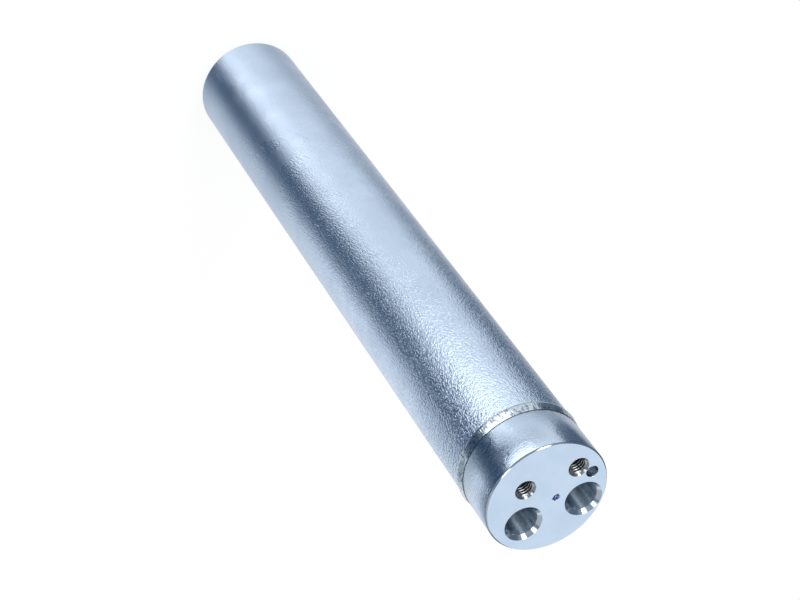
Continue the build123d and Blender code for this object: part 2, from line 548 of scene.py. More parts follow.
@dataclass(frozen=True)
class TurnedMetal(PatchyMetal):
    """Patchy metal with tool lines and a fine grain."""

    lay: Lay = Lay.ROUND_AXIS
    lines: float = 2500.0
    line_depth: float = 2e-6
    grain_scale: float = 900.0
    grain_stretch: float = 1.5
    grain_depth: float = 4e-6

    def paint(self, s: Surface) -> None:
        """Paint the metal.

        Args:
            s: the surface.
        """
        super().paint(s)
        along = s.length(s.in_plan()) if self.lay is Lay.ROUND_FACE else s.z
        deepest = max(self.line_depth, self.grain_depth)
        lines = s.math("MULTIPLY", s.tool_lines(along, self.lines), self.line_depth / deepest)
        grain = s.grain(self.grain_scale, self.grain_stretch)
        s.bump(s.math("ADD", lines, s.math("MULTIPLY", grain, self.grain_depth / deepest)), deepest)


@dataclass(frozen=True)
class DrawnCan(Finish):
    """The can's satin side: criss-cross grain that grows towards the head, and slow waves."""

    name: str = "satin_can"
    colour: Colour = (0.62, 0.76, 0.95)
    dull_colour: Colour = (0.58, 0.71, 0.90)
    patch_scale: float = 70.0
    roughness: float = 0.11
    dull_roughness: float = 0.16
    end_roughness: float = 0.18
    grain_scale: float = 1750.0
    grain_stretch: float = 2.1
    grain_twist: float = 13.0
    grain_depth: float = 260e-6
    wave_scale: float = 60.0
    wave_depth: float = 30e-6
    scratch_share: float = 0.12
    rough_above: float = 0.235
    quiet_share: float = 0.3

    def paint(self, s: Surface) -> None:
        """Paint the can.

        Args:
            s: the surface.
        """
        mask = s.mottle(self.patch_scale)
        s.give("Base Color", s.blend(mask, self.colour, self.dull_colour))
        patchy = s.ramp(mask, 0.0, 1.0, self.roughness, self.dull_roughness)
        softer = s.ramp(s.z, self.rough_above, 0.0, 0.0, self.end_roughness)
        s.give("Roughness", s.math("ADD", patchy, softer))
        s.give("Metallic", 1.0)
        twists = (self.grain_twist, -self.grain_twist)
        slants = [s.grain(self.grain_scale, self.grain_stretch, twist) for twist in twists]
        growth = (1 - self.quiet_share) / self.rough_above
        strength = s.math("ADD", s.math("MULTIPLY", s.z, growth), self.quiet_share)
        grain = s.math("MULTIPLY", s.math("MAXIMUM", *slants), strength)
        waves = s.math("MULTIPLY", s.noise(s.place, self.wave_scale), self.wave_depth / self.grain_depth)
        scratches = s.math("MULTIPLY", s.group(s.effects.scratches, Vector=s.place), self.scratch_share)
        s.bump(s.math("SUBTRACT", s.math("ADD", grain, waves), scratches), self.grain_depth)


@dataclass(frozen=True)
class TurnedSide(Finish):
    """The head's turned side: tool lines of uneven gloss, and one dark stain beside the weld."""

    name: str = "turned_side"
    colour: Colour = (0.56, 0.68, 0.84)
    dull_colour: Colour = (0.50, 0.62, 0.79)
    patch_scale: float = 90.0
    roughness: float = 0.13
    streak_roughness: float = 0.30
    streak_scale: float = 420.0
    streak_flatness: float = 0.07
    streak_edge: Point = (0.42, 0.62)
    lines: float = 1800.0
    line_depth: float = 12e-6
    dent_scale: float = 900.0
    dent_flatness: float = 0.5
    dent_depth: float = 70e-6
    stain: Colour = (0.38, 0.49, 0.64)
    stain_share: float = 0.85
    stain_azimuth: float = -60.0
    stain_height: float = 9.0 * MM
    stain_reach: Point = (6.0 * MM, 7.0 * MM)
    stain_edge: Point = (1.25, 0.7)
    stain_raggedness: float = 1.6

    def paint(self, s: Surface) -> None:
        """Paint the side.

        Args:
            s: the surface.
        """
        streaks = s.grain(self.streak_scale, self.streak_flatness)
        metal = s.blend(s.mottle(self.patch_scale), self.colour, self.dull_colour)
        s.give("Base Color", s.blend(self.stain_mask(s, streaks), metal, self.stain))
        s.roughen(s.ramp(streaks, *self.streak_edge), self.roughness, self.streak_roughness)
        s.give("Metallic", 1.0)
        lines = s.math("MULTIPLY", s.tool_lines(s.z, self.lines), self.line_depth / self.dent_depth)
        s.bump(s.math("ADD", lines, s.grain(self.dent_scale, self.dent_flatness)), self.dent_depth)

    def stain_mask(self, s: Surface, streaks: Socket) -> Socket:
        """Draw the stain: an oval with an edge that the tool lines make ragged.

        Args:
            s: the surface.
            streaks: the height of its streaks.

        Returns:
            A mask of 0 to 1.
        """
        _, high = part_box("head_block")
        turn = radians(self.stain_azimuth)
        centre = (high.x * cos(turn), high.x * sin(turn), high.z - self.stain_height)
        half_width, half_height = self.stain_reach
        offset = s.vector("SUBTRACT", s.place, centre)
        away = s.length(s.vector("DIVIDE", offset, (half_width, half_width, half_height)))
        ragged = s.math("MULTIPLY", s.math("SUBTRACT", streaks, NOISE_MIDDLE), self.stain_raggedness)
        return s.math("MULTIPLY", s.ramp(s.math("ADD", away, ragged), *self.stain_edge), self.stain_share)


@dataclass(frozen=True)
class CutThread(Finish):
    """Cut threads: bright at the mouth, with painted shade that darkens them further down the hole to
    almost black.
    """

    name: str = "cut_thread"
    colour: Colour = (0.42, 0.44, 0.46)
    # painted shade: the colour the thread darkens to deeper in the hole
    hole_shade_colour: Colour = (0.05, 0.055, 0.06)
    patch_scale: float = 900.0
    roughness: float = 0.14
    dull_roughness: float = 0.24
    shade_start_depth: float = 3.0 * MM
    shade_full_depth: float = 5.2 * MM
    shade_edge_scale: float = 500.0
    shade_edge_unevenness: float = 2.0 * MM

    def paint(self, s: Surface) -> None:
        """Paint the thread.

        Args:
            s: the surface.
        """
        _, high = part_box("head_block")
        # painted shade: the thread darkens with depth in the hole, along an uneven edge
        spread = s.math("SUBTRACT", s.noise(s.place, self.shade_edge_scale), NOISE_MIDDLE)
        level = s.math("ADD", s.z, s.math("MULTIPLY", spread, self.shade_edge_unevenness))
        hole_shade = s.ramp(level, high.z - self.shade_start_depth, high.z - self.shade_full_depth)
        s.give("Base Color", s.blend(hole_shade, self.colour, self.hole_shade_colour))
        s.roughen(s.mottle(self.patch_scale), self.roughness, self.dull_roughness)
        s.give("Metallic", 1.0)


@dataclass(frozen=True)
class ReamedWall(PatchyMetal):
    """A port's reamed wall: fine rings round it stretch each reflection along its axis. Its colours are
    darker than the face's, as painted shade inside the port.
    """

    name: str = "reamed_wall"
    # painted shade: darker than the face's metal, for the shade inside the port
    colour: Colour = (0.46, 0.56, 0.66)
    dull_colour: Colour = (0.32, 0.41, 0.50)
    roughness: float = 0.36
    dull_roughness: float = 0.40
    patch_scale: float = 500.0
    stretch: float = 1.0
    across_rings: float = 0.25

    def paint(self, s: Surface) -> None:
        """Paint the wall.

        Args:
            s: the surface.
        """
        super().paint(s)
        s.give("Anisotropic", self.stretch)
        s.give("Anisotropic Rotation", self.across_rings)


@dataclass(frozen=True)
class WeldMetal(Finish):
    """Weld metal: pitted and silvery, with painted shade: a dark line along each edge, where the weld meets
    the can and the head.
    """

    name: str = "weld_metal"
    colour: Colour = (0.60, 0.70, 0.80)
    pit_colour: Colour = (0.22, 0.28, 0.36)
    # painted shade: the colour of the dark lines along the weld's two edges
    shadow_line_colour: Colour = (0.10, 0.12, 0.15)
    roughness: float = 0.12
    pit_roughness: float = 0.26
    pit_scale: float = 1100.0
    pit_stretch: float = 1.6
    pit_edge: Point = (0.52, 0.36)
    pit_depth: float = 40e-6
    shadow_line_width: float = 0.22 * MM

    def paint(self, s: Surface) -> None:
        """Paint the weld.

        Args:
            s: the surface.
        """
        low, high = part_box("weld_bead")
        height = s.grain(self.pit_scale, self.pit_stretch)
        pits = s.ramp(height, *self.pit_edge)
        # painted shade: dark lines along the weld's edges, at the can and at the head
        can_side_shadow = s.ramp(s.z, low.z + self.shadow_line_width, low.z + self.shadow_line_width / 2)
        head_side_shadow = s.ramp(s.z, high.z - self.shadow_line_width, high.z - self.shadow_line_width / 2)
        edge = s.math("MAXIMUM", can_side_shadow, head_side_shadow)
        metal = s.blend(pits, self.colour, self.pit_colour)
        s.give("Base Color", s.blend(edge, metal, self.shadow_line_colour))
        s.roughen(pits, self.roughness, self.pit_roughness)
        s.give("Metallic", 1.0)
        s.bump(height, self.pit_depth)


@dataclass(frozen=True)
class InkedFace(Finish):
    """The head's fine-turned face, with one dab of marking ink."""

    name: str = "turned_face"
    colour: Colour = (0.62, 0.76, 0.94)
    dull_colour: Colour = (0.60, 0.74, 0.92)
    patch_scale: float = 120.0
    roughness: float = 0.30
    dull_roughness: float = 0.35
    lines: float = 2600.0
    line_depth: float = 1.2e-6
    ink: Colour = (0.01, 0.012, 0.17)
    ink_place: Point = (-2.72 * MM, 1.33 * MM)
    ink_radius: float = 1.15 * MM
    ink_edge: Point = (1.15, 0.95)
    ink_raggedness: float = 1.6
    ragged_scale: float = 900.0
    thin_scale: float = 1500.0
    thin_edge: Point = (0.36, 0.44)
    thin_share: float = 0.3

    def paint(self, s: Surface) -> None:
        """Paint the face.

        Args:
            s: the surface.
        """
        flat = s.in_plan()
        mask = s.mottle(self.patch_scale)
        ink = self.ink_mask(s, flat)
        s.give("Base Color", s.blend(ink, s.blend(mask, self.colour, self.dull_colour), self.ink))
        s.give("Metallic", s.math("SUBTRACT", 1.0, ink))
        s.roughen(mask, self.roughness, self.dull_roughness)
        s.bump(s.tool_lines(s.length(flat), self.lines), self.line_depth)

    def ink_mask(self, s: Surface, flat: Socket) -> Socket:
        """Draw the ink: a ragged dab with thin spots.

        Args:
            s: the surface.
            flat: the place in plan.

        Returns:
            A mask of 0 to 1.
        """
        away = s.length(s.vector("SUBTRACT", flat, (*self.ink_place, 0.0)))
        spread = s.math("SUBTRACT", s.noise(flat, self.ragged_scale), NOISE_MIDDLE)
        ragged = s.math("MULTIPLY", spread, self.ink_raggedness * self.ink_radius)
        outer, inner = (share * self.ink_radius for share in self.ink_edge)
        inside = s.ramp(s.math("ADD", away, ragged), outer, inner)
        thin = s.ramp(s.noise(flat, self.thin_scale, detail=1.0), *self.thin_edge, self.thin_share, 1.0)
        return s.math("MULTIPLY", inside, thin, clamp=True)


@dataclass(frozen=True)
class SoftSolid(Finish):
    """A non-metal: moulded nylon, felt or packed beads."""

    colour: Colour
    shade: Colour
    roughness: float
    pattern_scale: float
    depth: float
    cells: bool = False
    patch_scale: float = 150.0
    patch_roughness: float = 0.08

    def paint(self, s: Surface) -> None:
        """Paint the solid.

        Args:
            s: the surface.
        """
        if self.cells:
            given = {"Vector": s.place, "Scale": self.pattern_scale}
            height = s.math("SUBTRACT", 1.0, s.add("ShaderNodeTexVoronoi", given=given).outputs["Distance"])
        else:
            height = s.noise(s.place, self.pattern_scale, detail=4.0, roughness=0.65)
        s.give("Base Color", s.blend(height, self.shade, self.colour))
        s.roughen(s.mottle(self.patch_scale), self.roughness, self.roughness + self.patch_roughness)
        s.bump(height, self.depth)


@dataclass(frozen=True)
class WovenScreen(Finish):
    """Fine woven wire, seen as two crossing sets of wires."""

    name: str = "woven_screen"
    wire: Colour = (0.62, 0.62, 0.60)
    gap: Colour = (0.10, 0.10, 0.10)
    roughness: float = 0.42
    mesh_pitch: float = 0.35 * MM
    wires_round: float = 96.0
    wire_edge: Point = (-0.2, 0.7)
    depth: float = 0.05 * MM

    def paint(self, s: Surface) -> None:
        """Paint the screen.

        Args:
            s: the surface.
        """
        centre = mount_place("port_a")
        x, y, z = s.split(s.vector("SUBTRACT", s.place, (centre.x, centre.y, 0.0)))
        warp = s.math("SINE", s.math("MULTIPLY", s.math("ARCTAN2", y, x), self.wires_round))
        weft = s.math("SINE", s.math("MULTIPLY", z, 2 * pi / self.mesh_pitch))
        height = s.math("MAXIMUM", warp, weft)
        mask = s.ramp(height, *self.wire_edge)
        s.give("Base Color", s.blend(mask, self.gap, self.wire))
        s.give("Metallic", mask)
        s.give("Roughness", self.roughness)
        s.bump(height, self.depth)


def dress(piece: bpy.types.Object, slot: Slot, materials: Sequence[bpy.types.Material]) -> None:
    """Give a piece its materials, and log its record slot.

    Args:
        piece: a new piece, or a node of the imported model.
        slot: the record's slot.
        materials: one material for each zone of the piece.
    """
    taken = len(piece.data.materials)
    for number, material in enumerate(materials):
        if number < taken:
            piece.data.materials[number] = material
        else:
            piece.data.materials.append(material)
    LOG.info("%s: %d faces, %s", piece.name, len(piece.data.polygons), slot.value)


# ---- the can
@dataclass
class Can:
    """The extruded can: a closed end with a foot ring, a thin wall and a bevelled rim."""

    wall: float = 1.5 * MM
    floor: float = 3.0 * MM
    corner: float = 2.5 * MM
    inner_bevel: float = 1.5 * MM
    foot_width: float = 4.0 * MM
    foot_recess: float = 0.6 * MM
    foot_slope: float = 2.0 * MM
    root_depth: float = 0.8 * MM
    edge_break: float = 0.2 * MM
    segments: int = 256

    def profile(self) -> list[Point]:
        """Draw the wall's outline.

        Returns:
            Its corners as (radius, height), from the foot's centre round to the floor's.
        """
        _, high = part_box("can_shell")
        bead_low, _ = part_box("weld_bead")
        radius, rim = high.x, high.z
        bore = radius - self.wall
        foot = radius - self.corner - self.foot_width
        steepness = self.foot_recess / self.foot_slope
        return [
            (foot - self.foot_slope, self.foot_recess),
            (foot - self.edge_break, self.edge_break * steepness),
            (foot + self.edge_break, 0.0),
            *fillet((radius - self.corner, self.corner), self.corner, -90.0, 0.0, 10),
            (radius, bead_low.z),
            (radius - self.root_depth, rim),
            (bore, rim),
            (bore, self.floor + self.inner_bevel),
            (bore - self.inner_bevel, self.floor),
        ]

    def build(self, effects: Effects) -> None:
        """Build and dress the can.

        Args:
            effects: the shared effects.
        """
        sketch = MeshSketch()
        rings = lathe(self.profile(), self.segments)
        sketch.disc(rings[0])
        sketch.rings(rings)
        sketch.disc(rings[-1])
        piece = sketch.build("can")
        dress(piece, Slot.CAN, [DrawnCan().make(effects)])
        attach(piece, ROOT)
        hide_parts("can_shell")


# ---- the head
class Zone(IntEnum):
    """Material slots of the head."""

    SIDE = 0
    FACE = 1
    BORE = 2
    THREAD = 3
    EDGE = 4


@dataclass(frozen=True)
class MetricThread:
    """An inside thread of 60 degrees, right-handed."""

    pitch: float = 1.0 * MM
    minor_radius: float = 2.5 * MM
    major_radius: float = 3.0 * MM
    crest_share: float = 0.25
    root_share: float = 0.125
    rounding: float = 0.4

    def radius(self, turns: np.ndarray, height: np.ndarray) -> np.ndarray:
        """Work out how far the cut reaches from the axis.

        Args:
            turns: angles round the axis.
            height: a height for each of them.

        Returns:
            The radius at each of them.
        """
        phase = np.mod(height / self.pitch - turns / (2 * pi), 1.0)
        from_crest = np.abs(phase - 0.5)
        flank = (from_crest - self.crest_share / 2) / (0.5 - self.crest_share / 2 - self.root_share / 2)
        share = np.clip(flank, 0.0, 1.0)
        smooth = share**2 * (3.0 - 2.0 * share)
        worn = (1 - self.rounding) * share + self.rounding * smooth
        return self.minor_radius + worn * (self.major_radius - self.minor_radius)


@dataclass
class Head:
    """The turned head: face, two ports, two tapped holes, a pin hole and the spigot in the can."""

    face_chamfer: float = 0.45 * MM
    spigot_fit: float = 0.05 * MM
    wall: float = 1.5 * MM
    root_depth: float = 0.8 * MM
    edge_softness: float = 0.08 * MM
    port_mouth: float = 6.2 * MM
    port_lip: float = 0.12 * MM
    port_depth: float = 14.0 * MM
    passage: float = 3.1 * MM
    tube_radius: float = 4.0 * MM
    tube_press_depth: float = 9.0 * MM
    screw_mouth: float = 3.4 * MM
    screw_depth: float = 15.0 * MM
    thread_depth: float = 11.0 * MM
    thread_steps: int = 24
    drill_point: float = 118.0
    blunt_tip: float = 0.02
    pin_depth: float = 6.0 * MM
    pin_break: float = 0.05 * MM
    thread: MetricThread = field(default_factory=MetricThread)
    segments: int = 360
    port_segments: int = 160
    screw_segments: int = 128
    pin_segments: int = 96

    def outer(self) -> list[Point]:
        """Draw the side's outline.

        Returns:
            Its corners as (radius, height), from the face down to the spigot's end.
        """
        low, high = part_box("head_block")
        _, can_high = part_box("can_shell")
        _, bead_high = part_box("weld_bead")
        spigot = can_high.x - self.wall - self.spigot_fit
        root = can_high.x - self.root_depth
        soft = self.edge_softness
        return [
            (high.x - self.face_chamfer, high.z),
            (high.x - soft, high.z - self.face_chamfer + soft),
            (high.x, high.z - self.face_chamfer - soft),
            (high.x, bead_high.z),
            (root, can_high.z),
            (spigot, can_high.z),
            (spigot, low.z),
        ]

    def port(self, name: str, has_tube: bool) -> np.ndarray:
        """Lay out a port's walls.

        Args:
            name: the port's mount.
            has_tube: whether the pickup tube is pressed in under it.

        Returns:
            Its rings, from its mouth in the face to its passage in the spigot's end.
        """
        low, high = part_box("head_block")
        bore, centre = mount_radius(name), mount_place(name)
        floor = high.z - self.port_depth
        lip = self.port_lip
        profile = [
            (self.port_mouth, high.z),
            (bore + lip, high.z - self.port_mouth + bore + lip),
            (bore, high.z - self.port_mouth + bore - lip),
            (bore, floor),
            (self.passage, floor),
        ]
        if has_tube:
            seat = low.z + self.tube_press_depth
            profile += [(self.passage, seat), (self.tube_radius, seat), (self.tube_radius, low.z)]
        else:
            profile.append((self.passage, low.z))
        return lathe(profile, self.port_segments, centre)

    @staticmethod
    def port_wall(name: str, rings: np.ndarray, reamed: bpy.types.Material) -> None:
        """Build a port's reamed wall as a piece of its own, so that its lay runs round its own axis.

        Args:
            name: the port's mount.
            rings: the wall, from the chamfer to the port's floor.
            reamed: its material.
        """
        sketch = MeshSketch()
        sketch.rings(rings)
        piece = sketch.build(name + "_wall")
        dress(piece, Slot.HEAD, [reamed])
        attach(piece, ROOT)
        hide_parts("head_block")

    def tapped_hole(self, sketch: MeshSketch, name: str) -> np.ndarray:
        """Add a tapped hole's walls.

        Args:
            sketch: the head's mesh.
            name: the hole's mount.

        Returns:
            The ring of its mouth.
        """
        _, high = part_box("head_block")
        centre, drill = mount_place(name), mount_radius(name)
        turns = ring_angles(self.screw_segments)
        rows = round(self.thread_depth / self.thread.pitch * self.thread_steps)
        depths = np.linspace(0.0, self.thread_depth, rows + 1)
        rings = []
        for depth in depths:
            cone = self.screw_mouth - depth
            runout = np.clip((self.thread_depth - depth) / self.thread.pitch, 0.0, 1.0)
            cut = self.thread.radius(turns, np.full_like(turns, -depth))
            radius = np.maximum(drill + (cut - drill) * runout, cone)
            rings.append(circle(radius, high.z - depth, self.screw_segments, centre))
        rings.append(circle(drill, high.z - self.screw_depth, self.screw_segments, centre))
        sketch.rings(np.stack(rings), Zone.THREAD)
        point = high.z - self.screw_depth - drill / tan(radians(self.drill_point / 2))
        self.cone_end(sketch, rings[-1], (centre.x, centre.y, point))
        return rings[0]

    def cone_end(self, sketch: MeshSketch, ring: np.ndarray, tip: Sequence[float]) -> None:
        """Close a ring with a cone, as a drill leaves it.

        Args:
            sketch: the head's mesh.
            ring: the hole's last ring.
            tip: the cone's point.
        """
        near = np.array(tip) + (ring - np.array(tip)) * self.blunt_tip
        sketch.rings(np.stack([ring, near]), Zone.BORE)
        sketch.disc(near, Zone.BORE)

    def pin_hole(self, sketch: MeshSketch) -> np.ndarray:
        """Add the locating-pin hole.

        Args:
            sketch: the head's mesh.

        Returns:
            The ring of its mouth.
        """
        _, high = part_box("head_block")
        centre, radius = mount_place("pin_hole"), mount_radius("pin_hole")
        profile = [
            (radius + self.pin_break, high.z),
            (radius, high.z - self.pin_break),
            (radius, high.z - self.pin_depth),
        ]
        rings = lathe(profile, self.pin_segments, centre)
        sketch.rings(rings, Zone.BORE)
        sketch.disc(rings[-1], Zone.BORE)
        return rings[0]

    def build(self, effects: Effects) -> None:
        """Build and dress the head.

        Args:
            effects: the shared effects.
        """
        reamed = ReamedWall().make(effects)
        sketch = MeshSketch()
        rings = lathe(self.outer(), self.segments)
        sketch.rings(rings[:3], Zone.EDGE)
        sketch.rings(rings[2:], Zone.SIDE)
        ports = [self.port("port_a", has_tube=True), self.port("port_b", has_tube=False)]
        for name, port in zip(("port_a", "port_b"), ports):
            sketch.rings(port[:2], Zone.EDGE)
            sketch.rings(port[3:], Zone.BORE)
            self.port_wall(name, port[1:4], reamed)
        mouths = [port[0] for port in ports]
        mouths += [self.tapped_hole(sketch, name) for name in ("screw_a", "screw_b")]
        mouths.append(self.pin_hole(sketch))
        sketch.plate(rings[0], mouths, Zone.FACE)
        sketch.plate(rings[-1], [port[-1] for port in ports], Zone.BORE)
        piece = sketch.build("head")
        bore = TurnedMetal(
            "reamed_bore", (0.64, 0.70, 0.77), (0.58, 0.64, 0.71), 0.20, 0.26,
            lines=5000.0, line_depth=40e-6, grain_depth=2e-6,
        )
        edge = TurnedMetal(
            "turned_edge", (0.66, 0.73, 0.82), (0.60, 0.68, 0.77), 0.10, 0.16,
            lines=4000.0, line_depth=1e-6, grain_depth=1e-6,
        )
        finishes = [TurnedSide().make(effects), InkedFace().make(effects), bore.make(effects)]
        finishes += [CutThread().make(effects), edge.make(effects)]
        dress(piece, Slot.HEAD, finishes)
        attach(piece, ROOT)
        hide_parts("head_block")


# ---- the weld
@dataclass
class WeldBead:
    """The weld: a rippled crown that falls off abruptly on the head's side."""

    head_undersize: float = 0.1 * MM
    root_depth: float = 0.8 * MM
    crown_height: float = 0.43 * MM
    crest: float = 0.3
    crown_fall: float = 1.25
    shoulder: float = 0.28 * MM
    shoulder_foot: Point = (0.1 * MM, 0.04 * MM)
    ripples: int = 170
    ripple_height: float = 0.022 * MM
    ripple_level: float = 0.6
    ripple_start: float = 0.08
    ripple_sweep: float = 0.035
    ripple_wander: float = 1.5
    unevenness: float = 0.015 * MM
    waves_round: tuple[int, ...] = (3, 7, 11, 23, 41)
    faintest_wave: float = 0.3
    seed: int = 7
    steps_round: int = 1360
    steps_across: int = 20

    def wander(self, turns: np.ndarray) -> np.ndarray:
        """Draw the slow unevenness of a hand-fed weld.

        Args:
            turns: angles round the axis.

        Returns:
            A value of -1 to 1 for each of them.
        """
        rng = np.random.default_rng(self.seed)
        waves = sum(
            rng.uniform(self.faintest_wave, 1.0) * np.sin(turns * count + rng.uniform(0, 2 * pi))
            for count in self.waves_round
        )
        return waves / np.abs(waves).max()

    def crown(self, low: Vector, high: Vector, side: float) -> list[np.ndarray]:
        """Lay the rippled crown from the can towards the head.

        Args:
            low: the lower corner of the weld's box.
            high: its upper corner.
            side: the can's radius.

        Returns:
            The crown's rings.
        """
        turns = ring_angles(self.steps_round)
        uneven = self.wander(turns)
        width = high.z - self.shoulder - low.z
        rings = []
        for s in np.linspace(0.0, 1.0, self.steps_across + 1):
            rise, fall = min(1.0, s / self.crest), max(0.0, s - self.crest) / (1.0 - self.crest)
            hump = sin(pi / 2 * rise) - self.crown_fall * fall
            swept = turns + self.ripple_sweep * (2 * s - 1) ** 2
            phase = self.ripples * swept + self.ripple_wander * uneven
            strength = self.ripple_height * np.sin(pi * min(1.0, s + self.ripple_start))
            ripple = (np.abs(np.sin(phase / 2)) - self.ripple_level) * strength
            radius = side + hump * (self.crown_height + ripple + self.unevenness * uneven)
            rings.append(circle(radius, low.z + s * width, self.steps_round))
        return rings

    def build(self, effects: Effects) -> None:
        """Build and dress the weld.

        Args:
            effects: the shared effects.
        """
        low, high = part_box("weld_bead")
        _, can_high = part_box("can_shell")
        side = can_high.x
        foot = side - self.head_undersize
        out, down = self.shoulder_foot
        root = side - self.root_depth
        edge = [(foot + out, high.z - down), (foot, high.z), (root, can_high.z), (side, low.z)]
        sketch = MeshSketch()
        sketch.rings(np.stack([*self.crown(low, high, side), *lathe(edge, self.steps_round)]))
        piece = sketch.build("weld")
        dress(piece, Slot.WELD, [WeldMetal().make(effects)])
        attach(piece, ROOT)
        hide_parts("weld_bead")


# ---- inside the can
@dataclass
class Inside:
    """The pickup tube, the strainer and the sprung desiccant stack."""

    def build(self, effects: Effects) -> None:
        """Dress the pieces inside the can.

        Args:
            effects: the shared effects.
        """
        tube = TurnedMetal(
            "drawn_tube", (0.72, 0.78, 0.84), (0.62, 0.68, 0.74), 0.28, 0.36,
            lines=900.0, line_depth=1e-6, grain_depth=5e-6,
        )
        zinc = TurnedMetal(
            "zinc_plate", (0.66, 0.67, 0.66), (0.52, 0.53, 0.54), 0.32, 0.45, 300.0,
            lay=Lay.ROUND_FACE, lines=700.0, line_depth=1e-6, grain_depth=6e-6,
        )
        wire = TurnedMetal(
            "spring_wire", (0.40, 0.40, 0.40), (0.28, 0.27, 0.26), 0.30, 0.42, 260.0,
            lines=2000.0, line_depth=2e-6, grain_depth=4e-6,
        )
        nylon = SoftSolid("moulded_nylon", (0.84, 0.82, 0.76), (0.76, 0.74, 0.68), 0.42, 700.0, 6e-6)
        felt = SoftSolid("pressed_felt", (0.80, 0.78, 0.72), (0.52, 0.50, 0.45), 0.9, 2600.0, 0.2 * MM)
        beads = SoftSolid(
            "desiccant_beads", (0.70, 0.58, 0.44), (0.30, 0.23, 0.16), 0.7, 520.0, 0.8 * MM, cells=True
        )
        dressed = {
            "pickup_tube": (Slot.TUBE, tube.make(effects)),
            "strainer_cage": (Slot.STRAINER, nylon.make(effects)),
            "strainer_screen": (Slot.SCREEN, WovenScreen().make(effects)),
            "upper_plate": (Slot.PLATE, zinc.make(effects)),
            "bed_spring": (Slot.SPRING, wire.make(effects)),
            "upper_felt_pad": (Slot.FELT, felt.make(effects)),
            "desiccant_bed": (Slot.DESICCANT, beads.make(effects)),
        }
        dressed["lower_plate"] = dressed["upper_plate"]
        dressed["lower_felt_pad"] = dressed["upper_felt_pad"]
        for node, (slot, material) in dressed.items():
            dress(frame["nodes"][node], slot, [material])


# ---- the studio
@dataclass(frozen=True)
class Card:
    """A soft-edged panel of the surround, as polished metal sees it.

    azimuth, reach and soft are degrees round from +X: half its width, and how far its edge fades.
    low and high are the heights, as sines of elevation, where it starts to show and shows fully.
    """

    azimuth: float
    reach: float
    soft: float
    low: float
    high: float
    brightness: float
    leans: bool = True


@dataclass(frozen=True)
class Softbox:
    """A lamp that faces the head; its place is seen from there, in degrees and metres."""

    name: str
    azimuth: float
    elevation: float
    width: float
    height: float
    radiance: float
    distance: float = 0.9

    def build(self) -> None:
        """Hang the lamp."""
        data = bpy.data.lights.new(self.name, "AREA")
        data.shape = "RECTANGLE"
        data.size, data.size_y = self.width, self.height
        data.energy = self.radiance * pi * self.width * self.height
        lamp = put_in_scene(self.name, data)
        level = cos(radians(self.elevation))
        turn = radians(self.azimuth)
        away = Vector((level * cos(turn), level * sin(turn), sin(radians(self.elevation))))
        _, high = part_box("head_block")
        lamp.location = Vector((0.0, 0.0, high.z)) + away * self.distance
        lamp.rotation_mode = "QUATERNION"
        lamp.rotation_quaternion = (-away).to_track_quat("-Z", "Y")


